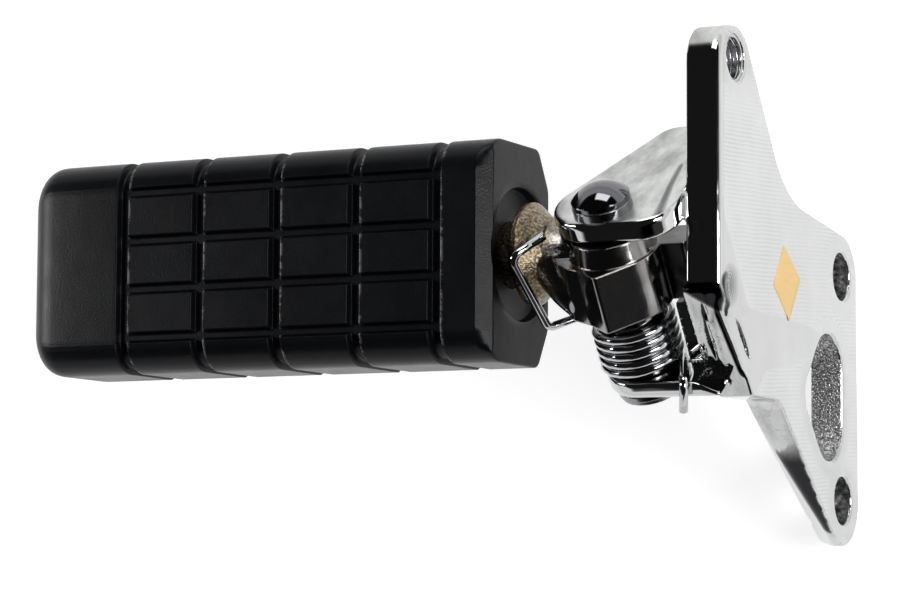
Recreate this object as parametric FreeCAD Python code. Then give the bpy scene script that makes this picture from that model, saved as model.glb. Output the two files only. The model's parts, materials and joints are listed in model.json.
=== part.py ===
# Folding motorcycle footpeg: a rubber-covered peg hinged on a forged bracket.
# Origin: centre of the middle bolt hole, on the machined mounting face.
# +X points inboard through that face, +Y points forward, +Z points up. Millimetres.
import FreeCAD
import Part
import os
from math import acos, atan2, cos, hypot, pi, radians, sin, sqrt, tan

# Mounting plate of the bracket
plate_thickness = 7.7
bolt_pitch = 50.0            # middle bolt hole to rear bolt hole
bolt_hole = 10.5             # clearance for an M10 bolt
front_hole = 8.5             # M10 tapped hole, minor diameter
front_hole_forward = 39.8
front_hole_up = 62.4
middle_lobe = 9.5            # edge radius round the middle bolt hole
rear_lobe = 10.0
front_lobe = 8.7
front_lobe_back = 1.9        # centre of the front lobe behind its hole
waist_radius = 25.0          # hollow front edge between two lobes
waist_forward = 37.2
waist_up = 20.2

# Lightening hole, a rounded triangle
window_base = 11.0           # between the centres of its two lower corners
window_base_radius = 8.4
window_top_radius = 5.6
window_rear = 27.5           # middle of the base, behind the middle bolt hole
window_up = 8.4
window_top_up = 17.0

# Hinge pin and clevis; the pin's frame has u inboard, v forward and down, w up the pin
pin_outboard = 23.5          # pin axis to the mounting face
pin_tilt = 35.0              # pin above the horizontal, front end up
knuckle_forward = -5.3       # where the pin crosses the peg's level
peg_level = 68.0
pin_diameter = 8.0
pin_fit = 0.05               # radial running clearance
brow_forward = -8.7          # where the plate's straight top edge turns down into a tongue
brow_radius = 5.0
tongue_slope = 39.5          # tongue below the horizontal
tongue_rear = -30.0          # rear wall below the tongue
arm_corner = 8.0             # hollow corner between that wall and the rear arm
arm_corner_up = 41.8
face_bevel_depth = 2.5       # polished bevel from the tongue down onto the mounting face
face_bevel_width = 10.5
bevel_depth = 4.5            # bevel behind the rear arm's upper edge

# Ears of the clevis
upper_ear_thickness = 4.7
upper_ear_reach = 12.6       # outboard of the pin axis
upper_ear_radius = 10.7
upper_ear_near = 6.2         # pin axis to the ear's near edge
upper_ear_far = 37.8         # pin axis to the forward end of the ear's web
near_corner = 7.7            # rounding of the near edge towards the plate
near_root = 12.0             # where the rounded edge ends inside the plate
web_lean = 66.0              # web's outboard edge from the inboard direction
web_corner = 5.0
lower_ear_thickness = 4.3
lower_ear_radius = 8.3
lower_ear_root = 15.0        # pin axis to the far end of the ear's root
ear_rounding = 0.9           # rim of an ear's outer face
ear_chamfer = 0.6            # rim of an ear's inner face
root_radius = 3.0            # hollow fillets between the ears and the plate
ear_overlap = 2.0            # how far the upper ear and the fillets run into the plate
lower_ear_overlap = 3.6      # how far the lower ear does
root_thickness = 5.8         # thick root on the plate's back, above the lower ear
root_near = 0.5              # its near and far ends, from the pin axis
root_far = 11.0
root_rounding = 1.5
root_play = 0.8              # below the swing of the heel

# Knuckle of the peg bar
clevis_gap = 32.3            # between the two ears
clevis_top = 11.0            # upper ear's underside above the peg's level, along the pin
side_play = 0.3              # hub to each ear
hub_radius = 6.8
eye_radius = 9.8
block_top = 6.5              # along the pin from the peg's level
block_bottom = -6.5
boss_base = 9.3              # sloping boss between the block and the upper ear
boss_radius = 8.3
corner_lift = 11.9           # raised corner of the block above the pin axis
corner_radius = 0.8
valley_outboard = 6.8        # centre of the hollow beside the raised corner
valley_lift = 11.6
valley_radius = 3.0
cheek_outboard = 5.0         # rounded outboard side that the neck runs into
cheek_radius = 8.2
heel_width = 8.0
heel_top = 1.0               # heel's upper edge below the pin axis
heel_rounding = 1.2
stop_gap = 0.3               # heel to the bracket with the peg down

# Peg bar: neck, collar and shank
bar_forward = 0.2            # bar axis, forward of the middle bolt hole
shank_diameter = 14.0
shank_length = 98.0          # from the collar's seat into the rubber
shank_chamfer = 2.0
collar_radius = 10.9
collar_face = 43.0           # mounting face to the inboard edge of the rim
collar_rim = 1.2
undercut_length = 2.2        # cone from the rim back to the shank
bell_radius = 8.6
bell_length = 2.4            # from the rim down to the bell's radius
throat_length = 2.0
throat_radius = 7.2
neck_step = 0.4              # flat underside above the block's bottom
neck_sections = (            # share of the way from pin to collar, share of the sideways step,
    (0.86, 1.0, 0.0, 8.05, 8.0),     # drop below the bar's level, half width, half height
    (0.64, 0.42, 0.6, 9.6, 7.2),
    (0.385, 0.13, 0.6, 10.4, 7.2),
    (0.08, 0.0, 0.2, 6.4, 5.4),
)

# Rubber
rubber_inner_end = 46.4      # mounting face to the rubber's inner end
rubber_length = 116.4
rubber_width = 47.0
rubber_top = 84.7
rubber_bottom = 54.9
rubber_top_radius = 7.2     # also round the outer end
rubber_side_drop = 9.2       # bar axis to the lower end of the rubber's sides
rubber_side_radius = 2.5
rubber_floor = 28.0          # width of the flat underside
rubber_floor_radius = 4.0
rubber_end_bottom_radius = 7.0
rubber_bevel = 2.8           # bevel along the top of the inner end
rubber_bevel_drop = 2.6
recess_radius = 14.2
recess_depth = 2.6
bore_fit = 0.05
block_columns = 4
block_rows = 3
column_pitch = 19.26
row_pitch = 10.64
cross_groove = 3.2           # width of a groove across the peg
long_groove = 2.6            # width of a groove along the peg
groove_depth = 1.6
first_groove = 10.8          # from the rubber's inner end to the first groove's wall

# Pin head, washers and clip
head_radius = 6.2
head_rim = 1.2
head_dome = 3.0
head_washer_thickness = 1.9
head_washer_radius = 6.3
end_washer_thickness = 1.0
end_washer_radius = 7.0
clip_thickness = 0.9
clip_radius = 6.5
clip_groove_depth = 0.8
clip_play = 0.1
clip_mouth = 90.0            # open angle of the clip
pin_tail = 1.6               # pin beyond the clip
pin_chamfer = 0.6

# Return spring
wire = 1.9
wire_flats = 8
coil_radius = 8.25           # middle of the wire
coil_pitch = 2.0
coil_turns = 5
coil_seat = 0.15             # lowest turn above the lower ear
hook_inboard = 12.5          # where the lower leg turns down over the ear's edge
hook_lean = 1.8              # its tail swings back outboard
hook_gap = 0.6
hook_tail = 1.6              # lower leg's end below the lower ear
bend_radius = 2.0
bend_steps = 4               # sections round a bend
coil_steps = 16              # sections in a turn
leg_corner = (-16.8, -5.7, -8.5)     # upper leg's first bend, in the pin's frame
leg_crown = (-2.3, 14.1, 0.7)        # its second bend: forward and up of the bar, inboard of the rim
leg_tip = (2.5, 10.0, 6.4)           # its free end over the neck, given the same way


def vec(x, y, z):
    return FreeCAD.Vector(x, y, z)


def belt(circles):
    """Closed outline round circles (x, y, radius).

    A negative radius bends the other way, and a radius of zero is a sharp corner.
    """
    count = len(circles)
    leave = []
    arrive = [None] * count
    for i, (x1, y1, r1) in enumerate(circles):
        x2, y2, r2 = circles[(i + 1) % count]
        span = hypot(x2 - x1, y2 - y1)
        run = sqrt(span ** 2 - (r2 - r1) ** 2)
        heading = atan2(y2 - y1, x2 - x1) - atan2(r2 - r1, run)
        leave.append(vec(x1 + r1 * sin(heading), y1 - r1 * cos(heading), 0))
        arrive[(i + 1) % count] = vec(x2 + r2 * sin(heading), y2 - r2 * cos(heading), 0)
    edges = []
    for i, (x, y, r) in enumerate(circles):
        if r:
            start = atan2(arrive[i].y - y, arrive[i].x - x)
            turn = (atan2(leave[i].y - y, leave[i].x - x) - start) % (2 * pi)
            if r < 0:
                turn -= 2 * pi
            middle = start + turn / 2
            through = vec(x + abs(r) * cos(middle), y + abs(r) * sin(middle), 0)
            edges.append(Part.Arc(arrive[i], through, leave[i]).toShape())
        edges.append(Part.LineSegment(leave[i], arrive[(i + 1) % count]).toShape())
    return Part.Wire(edges)


def prism(circles, start, end, placement):
    """A belt outline carried from start to end along its own normal, then placed."""
    face = Part.Face(belt(circles))
    face.translate(vec(0, 0, start))
    solid = face.extrude(vec(0, 0, end - start))
    solid.Placement = placement.multiply(solid.Placement)
    return solid


def rod(radius, start, end, placement):
    solid = Part.makeCylinder(radius, end - start, vec(0, 0, start))
    solid.Placement = placement.multiply(solid.Placement)
    return solid


def edges_where(shape, test):
    return [edge for edge in shape.Edges if test(edge)]


# Plate frame: outline x is forward, outline y is up, and its normal points inboard
plate_frame = FreeCAD.Placement(vec(0, 0, 0), FreeCAD.Rotation(vec(1, 1, 1), 120))
# Pin frame: origin where the pin crosses the peg's level
pin_frame = FreeCAD.Placement(
    vec(-pin_outboard, knuckle_forward, peg_level),
    FreeCAD.Rotation(vec(1, 0, 0), pin_tilt - 90))
# Bar frame: its normal runs inboard along the bar's axis, from the mounting face
bar_frame = FreeCAD.Placement(vec(0, bar_forward, peg_level), plate_frame.Rotation)

tilt = radians(pin_tilt)
ear_top = clevis_top + upper_ear_thickness
lower_ear_top = clevis_top - clevis_gap
lower_ear_bottom = lower_ear_top - lower_ear_thickness
washer_below = lower_ear_bottom - end_washer_thickness
hub_top = clevis_top - side_play
hub_bottom = lower_ear_top + side_play
plate_back = pin_outboard - plate_thickness      # in the pin's frame


def plate_outline():
    top_edge = front_hole_up + front_lobe
    slope = radians(tongue_slope)
    tongue_end = top_edge - (brow_forward - tongue_rear) * tan(slope)
    return [
        (-bolt_pitch, 0, rear_lobe),
        (0, 0, middle_lobe),
        (waist_forward, waist_up, -waist_radius),
        (front_hole_forward - front_lobe_back, front_hole_up, front_lobe),
        (brow_forward + brow_radius * tan(slope / 2), top_edge - brow_radius, brow_radius),
        (tongue_rear, tongue_end, 0),
        (tongue_rear - arm_corner, arm_corner_up, -arm_corner),
    ]


def window_outline():
    half = window_base / 2
    return [
        (-window_rear - half, window_up, window_base_radius),
        (-window_rear + half, window_up, window_base_radius),
        (-window_rear, window_top_up, window_top_radius),
    ]


def half_space(point, normal, size=300.0):
    """A large block whose face passes through point and that lies on the normal's side."""
    block = Part.makeBox(size, size, size, vec(-size / 2, -size / 2, 0))
    block.Placement = FreeCAD.Placement(point, FreeCAD.Rotation(vec(0, 0, 1), normal))
    return block


def face_bevel():
    """Shallow bevel along the tongue, from its near edge down onto the mounting face."""
    slope = radians(tongue_slope)
    top_edge = front_hole_up + front_lobe
    outward = vec(0, -sin(slope), cos(slope))
    edge = vec(-face_bevel_depth, brow_forward, top_edge)
    normal = outward * face_bevel_depth + vec(face_bevel_width, 0, 0)
    behind_brow = half_space(vec(0, brow_forward - brow_radius * sin(slope), 0), vec(0, -1, 0))
    return half_space(edge, normal).common(behind_brow)


def arm_bevel():
    """Bevel behind the upper edge of the rear arm, below the clevis root."""
    outline = plate_outline()
    hollow = outline[-1]
    lobe = outline[0]
    span = hypot(lobe[0] - hollow[0], lobe[1] - hollow[1])
    lean = acos((lobe[2] - hollow[2]) / span)
    heading = atan2(hollow[1] - lobe[1], hollow[0] - lobe[0])
    outward = vec(0, cos(heading + lean), sin(heading + lean))
    edge = vec(-plate_thickness, lobe[0], lobe[1]) + outward * (lobe[2] - bevel_depth)
    arm = Part.makeBox(plate_thickness + 2, bolt_pitch, 2 * arm_corner_up)
    arm.translate(vec(-plate_thickness - 1, -bolt_pitch - rear_lobe, -arm_corner_up))
    return half_space(edge, outward - vec(1, 0, 0)).common(arm)


def ear(circles, inner, outer):
    """Ear between the levels of its inner and outer faces, its rims rounded and chamfered."""
    body = prism(circles, min(inner, outer), max(inner, outer), FreeCAD.Placement())

    def rim(level):
        return edges_where(
            body, lambda e: e.BoundBox.XMin < plate_back - 1
            and abs(e.BoundBox.ZMin - level) + abs(e.BoundBox.ZMax - level) < 0.01)

    body = body.makeFillet(ear_rounding, rim(outer))
    body = body.makeChamfer(ear_chamfer, rim(inner))
    body.Placement = pin_frame
    return body


def root_fillets(inner, outer, near, far):
    """Hollow fillets along the plate's back, on both faces of an ear."""
    side = 1 if outer > inner else -1
    size = root_radius + ear_overlap
    fillets = []
    for level, away in ((inner, -side), (outer, side)):
        centre = vec(plate_back - root_radius, near, level + away * root_radius)
        low = min(level - away * ear_overlap, level + away * root_radius)
        block = Part.makeBox(size, far - near, size, vec(centre.x, near, low))
        fillet = block.cut(Part.makeCylinder(root_radius, far - near, centre, vec(0, 1, 0)))
        fillet.Placement = pin_frame
        fillets.append(fillet)
    within = prism(plate_outline(), -pin_outboard, 0, plate_frame)
    return [fillet.common(within) for fillet in fillets]


def upper_ear():
    root = plate_back + ear_overlap
    tip = (upper_ear_radius - upper_ear_reach, upper_ear_radius - upper_ear_near)
    rise = upper_ear_far - web_corner - tip[1]
    lean = radians(web_lean)
    shift = (upper_ear_radius - web_corner) / sin(lean)
    circles = [
        (tip[0], tip[1], upper_ear_radius),
        (plate_back - near_corner, near_corner - upper_ear_near, near_corner),
        (root, near_root, 0),
        (root, upper_ear_far, 0),
        (tip[0] + rise * cos(lean) / sin(lean) - shift, upper_ear_far - web_corner, web_corner),
    ]
    return ear(circles, clevis_top, ear_top)


def lower_ear():
    root = plate_back + lower_ear_overlap
    circles = [
        (0, 0, lower_ear_radius),
        (root, -lower_ear_radius, 0),
        (root, lower_ear_root, 0),
    ]
    return ear(circles, lower_ear_top, lower_ear_bottom)


def thick_root():
    """Thick root of the plate between the lower ear and the swing of the heel."""
    low = lower_ear_top - ear_overlap
    high = block_bottom - root_play
    outboard = plate_back - root_thickness
    length = root_far - root_near
    block = Part.makeBox(root_thickness + ear_overlap, length, high - low, vec(outboard, root_near, low))
    outboard_edges = edges_where(block, lambda e: e.BoundBox.XMax < outboard + 0.01)
    top_and_near = [
        edge for edge in outboard_edges
        if edge.BoundBox.ZMin > high - 0.01 or edge.BoundBox.YMax < root_near + 0.01]
    block = block.makeFillet(root_rounding, top_and_near)
    block.Placement = pin_frame
    return block


def mounting_bracket():
    plate = prism(plate_outline(), -plate_thickness, 0, plate_frame)
    plate = plate.cut(arm_bevel())
    ears = [upper_ear(), lower_ear(), thick_root()]
    ears += root_fillets(clevis_top, ear_top, -upper_ear_near, upper_ear_far)
    ears += root_fillets(lower_ear_top, lower_ear_bottom, -lower_ear_radius, lower_ear_root)
    body = plate.fuse(ears).cut(face_bevel()).removeSplitter()
    cuts = [prism(window_outline(), -plate_thickness - 1, 1, plate_frame)]
    for forward, up, diameter in (
            (0, 0, bolt_hole),
            (-bolt_pitch, 0, bolt_hole),
            (front_hole_forward, front_hole_up, front_hole)):
        hole = rod(diameter / 2, -plate_thickness - 1, 1, plate_frame)
        hole.translate(vec(0, forward, up))
        cuts.append(hole)
    cuts.append(rod(pin_diameter / 2 + pin_fit, lower_ear_bottom - 1, ear_top + 1, pin_frame))
    return body.cut(cuts)


def knuckle():
    outline = [
        (0, -corner_lift, corner_radius),
        (0, 0, eye_radius),
        (-cheek_outboard, 0, cheek_radius),
        (-valley_outboard, -valley_lift, -valley_radius),
    ]
    block = prism(outline, block_bottom, block_top, FreeCAD.Placement())
    boss = Part.makeCone(boss_base, boss_radius, hub_top - block_top, vec(0, 0, block_top))
    inboard = plate_back - stop_gap - heel_rounding
    upper = heel_top + heel_rounding
    lower = heel_top + heel_width - heel_rounding
    heel = prism(
        [(0, upper, heel_rounding), (inboard, upper, heel_rounding),
         (inboard, lower, heel_rounding), (0, lower, heel_rounding)],
        block_bottom, block_top, FreeCAD.Placement())
    hub = rod(hub_radius, hub_bottom, hub_top, FreeCAD.Placement())
    body = block.fuse([boss, heel, hub])
    body.Placement = pin_frame
    return body


def neck():
    """Loft from the bell's throat to the knuckle, cut flat above the spring."""
    sections = []
    for along, sideways, drop, wide, tall in neck_sections:
        ring = Part.Ellipse(vec(0, 0, 0), wide, tall)
        section = Part.Wire([ring.toShape()])
        outboard = pin_outboard + along * (collar_face - pin_outboard)
        forward = knuckle_forward + sideways * (bar_forward - knuckle_forward)
        middle = vec(-outboard, forward, peg_level - drop)
        section.Placement = FreeCAD.Placement(middle, plate_frame.Rotation)
        sections.append(section)
    above_spring = half_space(vec(0, 0, block_bottom + neck_step), vec(0, 0, 1))
    above_spring.Placement = pin_frame.multiply(above_spring.Placement)
    return Part.makeLoft(sections, True).common(above_spring)


def collar_and_shank():
    tip = -rubber_inner_end - recess_depth - shank_length
    rim_back = -collar_face - collar_rim
    bell_end = bell_length - collar_face
    throat_end = bell_end + throat_length
    shank = shank_diameter / 2
    outline = [
        (0, tip), (shank - shank_chamfer, tip), (shank, tip + shank_chamfer),
        (shank, rim_back - undercut_length), (collar_radius, rim_back), (collar_radius, -collar_face),
        (bell_radius, bell_end), (throat_radius, throat_end), (0, throat_end)]
    wire_points = [vec(r, 0, along) for r, along in outline]
    wire_points.append(wire_points[0])
    face = Part.Face(Part.makePolygon(wire_points))
    body = face.revolve(vec(0, 0, 0), vec(0, 0, 1), 360)
    body.Placement = bar_frame
    return body


def peg_bar():
    body = collar_and_shank().fuse([neck(), knuckle()])
    bore = rod(pin_diameter / 2 + pin_fit, hub_bottom - 1, hub_top + 1, pin_frame)
    return body.cut(bore).removeSplitter()


def rubber_section(inset):
    """Outline of the rubber about the bar's axis, shrunk by inset."""
    half = rubber_width / 2
    high = rubber_top - peg_level - rubber_top_radius
    low = rubber_bottom - peg_level + rubber_floor_radius
    floor = rubber_floor / 2
    side = half - rubber_side_radius
    side_low = rubber_side_radius - rubber_side_drop
    return [
        (-floor, low, rubber_floor_radius - inset),
        (floor, low, rubber_floor_radius - inset),
        (side, side_low, rubber_side_radius - inset),
        (half - rubber_top_radius, high, rubber_top_radius - inset),
        (rubber_top_radius - half, high, rubber_top_radius - inset),
        (-side, side_low, rubber_side_radius - inset),
    ]


def groove_ring(start):
    """Cross groove: the layer between the outline and the shrunk outline."""
    outer = prism(rubber_section(-1), start, start + cross_groove, bar_frame)
    inner = prism(rubber_section(groove_depth), start - 1, start + cross_groove + 1, bar_frame)
    return outer.cut(inner)


def rubber_side_view():
    """Bevelled inner end and rounded lower outer end seen from the side."""
    outer = -rubber_inner_end - rubber_length
    inner = -rubber_inner_end
    bottom = rubber_end_bottom_radius
    circles = [
        (outer + bottom, rubber_bottom + bottom, bottom),
        (inner, rubber_bottom, 0),
        (inner, rubber_top - rubber_bevel_drop, 0),
        (inner - rubber_bevel, rubber_top, 0),
        (outer, rubber_top, 0),
    ]
    upright = FreeCAD.Placement(vec(0, 0, 0), FreeCAD.Rotation(vec(1, 0, 0), 90))
    return prism(circles, -rubber_width, rubber_width, upright)


def rubber_pillow():
    """Block with its top and its outer end rounded."""
    outer = -rubber_inner_end - rubber_length
    rear = bar_forward - rubber_width / 2
    body = Part.makeBox(rubber_length, rubber_width, 2 * rubber_top, vec(outer, rear, -rubber_top))
    lengthwise = edges_where(body, lambda e: e.BoundBox.XLength > 1 and e.BoundBox.ZMin > 0)
    end = edges_where(body, lambda e: e.BoundBox.XMax < outer + 0.01 and e.BoundBox.ZMax > 0)
    return body.makeFillet(rubber_top_radius, lengthwise + end)


def peg_rubber():
    inner = -rubber_inner_end
    trough = rubber_section(0)
    trough[3] = (rubber_width, rubber_top, 0)
    trough[4] = (-rubber_width, rubber_top, 0)
    body = rubber_pillow().common(prism(trough, -2 * rubber_length, 0, bar_frame))
    body = body.common(rubber_side_view())
    cuts = []
    first = inner - first_groove - cross_groove
    for column in range(block_columns + 1):
        cuts.append(groove_ring(first - column * column_pitch))
    length = block_columns * column_pitch + cross_groove
    for row in range(block_rows + 1):
        middle = bar_forward + (row - block_rows / 2) * row_pitch
        rear = middle - long_groove / 2
        corner = vec(first - block_columns * column_pitch, rear, rubber_top - groove_depth)
        cuts.append(Part.makeBox(length, long_groove, groove_depth + 1, corner))
    cuts.append(rod(recess_radius, inner - recess_depth, inner + 1, bar_frame))
    seat = inner - recess_depth
    cuts.append(rod(shank_diameter / 2 + bore_fit, seat - shank_length - bore_fit, seat + 1, bar_frame))
    return body.cut(cuts)


def clip_level():
    return washer_below - clip_play - clip_thickness


def pivot_pin():
    radius = pin_diameter / 2
    seat = ear_top + head_washer_thickness
    groove = clip_level()
    tail = groove - pin_tail
    shaft = rod(radius, tail, seat, FreeCAD.Placement())
    shaft = shaft.makeChamfer(pin_chamfer, edges_where(shaft, lambda e: e.BoundBox.ZMax < tail + 0.01))
    head = rod(head_radius, seat, seat + head_rim, FreeCAD.Placement())
    ball = (head_radius ** 2 + head_dome ** 2) / (2 * head_dome)
    dome = Part.makeSphere(ball, vec(0, 0, seat + head_rim + head_dome - ball))
    dome = dome.common(rod(head_radius, seat + head_rim, seat + head_rim + head_dome, FreeCAD.Placement()))
    ring = rod(radius + 1, groove - clip_play, groove + clip_thickness + clip_play, FreeCAD.Placement())
    core = rod(radius - clip_groove_depth, groove - 1, groove + clip_thickness + 1, FreeCAD.Placement())
    body = shaft.fuse([head, dome]).cut(ring.cut(core)).removeSplitter()
    body.Placement = pin_frame
    return body


def plain_ring(radius, bottom, thickness):
    outer = rod(radius, bottom, bottom + thickness, pin_frame)
    return outer.cut(rod(pin_diameter / 2 + pin_fit, bottom - 1, bottom + thickness + 1, pin_frame))


def retaining_clip():
    bottom = clip_level()
    grip = pin_diameter / 2 - clip_groove_depth + pin_fit
    body = rod(clip_radius, bottom, bottom + clip_thickness, FreeCAD.Placement())
    body = body.cut(rod(grip, bottom - 1, bottom + clip_thickness + 1, FreeCAD.Placement()))
    below = vec(0, 0, bottom - 1)
    mouth = Part.makeCylinder(clip_radius + 1, clip_thickness + 2, below, vec(0, 0, 1), clip_mouth)
    body = body.cut(mouth)
    body.Placement = pin_frame
    return body


def tangent_angle(u, v, side):
    """Angle on the coil where a straight leg to (u, v) leaves it."""
    return atan2(v, u) + side * acos(coil_radius / hypot(u, v))


def bend(before, corner, after):
    """Points round one bend of the wire."""
    back = (before - corner).normalize()
    ahead = (after - corner).normalize()
    half = back.getAngle(ahead) / 2
    centre = corner + (back + ahead).normalize() * (bend_radius / sin(half))
    trim = bend_radius * cos(half) / sin(half)
    first = corner + back * trim - centre
    last = corner + ahead * trim - centre
    turn = pi - 2 * half
    points = []
    for i in range(bend_steps + 1):
        passed = turn * i / bend_steps
        near = sin(turn - passed) / sin(turn)
        far = sin(passed) / sin(turn)
        points.append(centre + first * near + last * far)
    return points


def spring_path():
    """Centre line of the wire from the hook, up the coil, to the free end over the neck."""
    low = lower_ear_top + coil_seat + wire / 2
    hook_v = -lower_ear_radius - hook_gap - wire / 2
    begin = tangent_angle(hook_inboard, hook_v, 1)
    end = tangent_angle(leg_corner[0], leg_corner[1], -1)
    sweep = coil_turns * 2 * pi + (end - begin) % (2 * pi)
    steps = round(sweep / (2 * pi) * coil_steps)
    coil = []
    for i in range(steps + 1):
        angle = begin + sweep * i / steps
        climb = coil_pitch * sweep / (2 * pi) * i / steps
        coil.append(vec(coil_radius * cos(angle), coil_radius * sin(angle), low + climb))
    hook_end = vec(hook_inboard - hook_lean, hook_v, lower_ear_bottom - hook_tail)
    hook = vec(hook_inboard, hook_v, low)
    rim = vec(0, 0, -collar_face)
    to_pin = pin_frame.inverse().multiply(bar_frame)
    corner = vec(*leg_corner)
    crown = to_pin.multVec(rim + vec(*leg_crown))
    tip = to_pin.multVec(rim + vec(*leg_tip))
    lower_leg = [hook_end] + bend(hook_end, hook, coil[0])
    upper_leg = bend(coil[-1], corner, crown) + bend(corner, crown, tip) + [tip]
    return lower_leg + coil + upper_leg


def return_spring():
    """Wire with a few flats, mitred along its centre line."""
    path = spring_path()
    heading = (path[1] - path[0]).normalize()
    side = (vec(1, 0, 0) - heading * heading.x).normalize()
    across = heading.cross(side)
    corners = []
    for i in range(wire_flats + 1):
        angle = 2 * pi * i / wire_flats
        corners.append(path[0] + (side * cos(angle) + across * sin(angle)) * (wire / 2))
    mitred = 1
    body = Part.makePolygon(path).makePipeShell([Part.makePolygon(corners)], True, False, mitred)
    body.Placement = pin_frame
    return body


parts = {
    "mounting_bracket": mounting_bracket(),
    "peg_bar": peg_bar(),
    "peg_rubber": peg_rubber(),
    "pivot_pin": pivot_pin(),
    "head_washer": plain_ring(head_washer_radius, ear_top, head_washer_thickness),
    "end_washer": plain_ring(end_washer_radius, washer_below, end_washer_thickness),
    "retaining_clip": retaining_clip(),
    "return_spring": return_spring(),
}

os.makedirs("parts", exist_ok=True)
for name, shape in parts.items():
    shape.exportStep("parts/" + name + ".step")
    print(name, len(shape.Solids), "solid, valid", shape.isValid(), "volume", round(shape.Volume, 1))
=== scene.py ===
import json
import bpy
import numpy as np
from mathutils import Matrix, Vector


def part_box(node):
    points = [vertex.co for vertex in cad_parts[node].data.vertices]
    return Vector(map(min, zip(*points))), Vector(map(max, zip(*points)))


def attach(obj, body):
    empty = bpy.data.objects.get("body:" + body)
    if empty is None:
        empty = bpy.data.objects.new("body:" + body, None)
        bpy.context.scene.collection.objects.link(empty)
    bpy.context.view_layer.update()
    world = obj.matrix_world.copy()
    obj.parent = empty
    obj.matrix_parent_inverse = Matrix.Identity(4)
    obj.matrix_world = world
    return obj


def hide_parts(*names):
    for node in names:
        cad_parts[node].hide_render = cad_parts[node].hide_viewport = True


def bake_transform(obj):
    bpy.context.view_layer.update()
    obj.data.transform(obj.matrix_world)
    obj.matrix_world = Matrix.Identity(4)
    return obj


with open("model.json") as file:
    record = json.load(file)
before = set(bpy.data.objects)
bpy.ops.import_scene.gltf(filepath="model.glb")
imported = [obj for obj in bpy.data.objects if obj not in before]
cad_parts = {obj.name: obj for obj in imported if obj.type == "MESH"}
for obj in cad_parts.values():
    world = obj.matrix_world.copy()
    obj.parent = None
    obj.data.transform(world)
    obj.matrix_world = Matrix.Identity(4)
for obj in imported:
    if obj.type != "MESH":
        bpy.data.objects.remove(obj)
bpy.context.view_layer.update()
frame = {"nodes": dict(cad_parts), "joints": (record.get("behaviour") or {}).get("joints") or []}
nodes = frame["nodes"]
scene = bpy.context.scene
mm = 0.001

# The hinge gives the pin's own directions: u inboard, v forward and down, w up the pin
hinge = frame["joints"][0]
pinPoint = np.array(hinge["pos_m"]) / mm
pinW = np.array(hinge["axis"])
pinU = np.array([1.0, 0.0, 0.0])
pinV = np.cross(pinW, pinU)


def toPin(points):                  # plain millimetres to (u, v, w)
    return (points - pinPoint) @ np.stack([pinU, pinV, pinW], 1)


def fromPin(points):                # (u, v, w) back to plain millimetres
    return pinPoint + np.asarray(points, float) @ np.stack([pinU, pinV, pinW])


def boxMm(node):
    low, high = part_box(node)
    return np.array(low) / mm, np.array(high) / mm


def unit(vectors):
    return vectors / np.linalg.norm(vectors, axis=-1, keepdims=True)


def smoothstep(edge0, edge1, x):
    t = np.clip((x - edge0) / (edge1 - edge0), 0, 1)
    return t * t * (3 - 2 * t)


# Meshes

def meshObject(name, points, faces, material):
    # points in millimetres; faces turned over where the enclosed volume comes out negative
    faces = np.asarray(faces)
    a, b, c = points[faces[:, 0]], points[faces[:, 1]], points[faces[:, 2]]
    if np.einsum("ij,ij->i", a, np.cross(b, c)).sum() < 0:
        faces = faces[:, ::-1]
    mesh = bpy.data.meshes.new(name)
    mesh.from_pydata(points * mm, [], [[i for i in face if i >= 0] for face in faces.tolist()])
    mesh.polygons.foreach_set("use_smooth", np.ones(len(faces), bool))
    mesh.materials.append(material)
    mesh.update()
    piece = bpy.data.objects.new(name, mesh)
    scene.collection.objects.link(piece)
    return piece


def gridFaces(rows, columns):
    # quads of a grid whose rows close on themselves: each point, its neighbour and the two in the next row
    i, j = np.meshgrid(np.arange(rows - 1), np.arange(columns), indexing="ij")
    here, after = i * columns + j, i * columns + (j + 1) % columns
    return np.stack([here, after, after + columns, here + columns], -1).reshape(-1, 4)


def fanFaces(row, centre, columns):
    # triangles from a ring of the grid to one point; -1 stands where a quad has its fourth corner
    here = row * columns + np.arange(columns)
    after = row * columns + (np.arange(columns) + 1) % columns
    return np.stack([here, after, np.full(columns, centre), np.full(columns, -1)], -1)


def closedTube(name, rings, material):
    # rings carried along a path, closed at both ends by a fan
    rows, columns = rings.shape[:2]
    points = np.concatenate([rings.reshape(-1, 3), rings[:1].mean(1), rings[-1:].mean(1)])
    firstFan = fanFaces(0, rows * columns, columns)[:, [1, 0, 2, 3]]
    lastFan = fanFaces(rows - 1, rows * columns + 1, columns)
    faces = np.concatenate([gridFaces(rows, columns), firstFan, lastFan])
    return meshObject(name, points, faces, material)


def pointLayer(piece, name, values):
    layer = piece.data.attributes.new(name, "FLOAT", "POINT")
    layer.data.foreach_set("value", np.asarray(values, np.float32))


# Outlines: circles (x, y, radius) joined by tangent lines; a negative radius bends the other way

def beltAngles(circles):
    c = np.asarray(circles, float)
    step = np.roll(c, -1, 0) - c
    run = np.sqrt(step[:, 0] ** 2 + step[:, 1] ** 2 - step[:, 2] ** 2)
    leave = np.arctan2(step[:, 1], step[:, 0]) - np.arctan2(step[:, 2], run) - np.pi / 2
    arrive = np.roll(leave, 1)
    sweep = (leave - arrive) % (2 * np.pi) - np.where(c[:, 2] < 0, 2 * np.pi, 0)
    return c, arrive, sweep


def beltOutline(circles, arcSteps):
    # points and outward normals round the belt, arcs only: straight runs need no points between
    c, arrive, sweep = beltAngles(circles)
    angle = arrive[:, None] + sweep[:, None] * np.linspace(0, 1, arcSteps)
    normal = np.stack([np.cos(angle), np.sin(angle)], -1)
    points = c[:, None, :2] + c[:, 2, None, None] * normal
    return points.reshape(-1, 2), normal.reshape(-1, 2)


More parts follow.
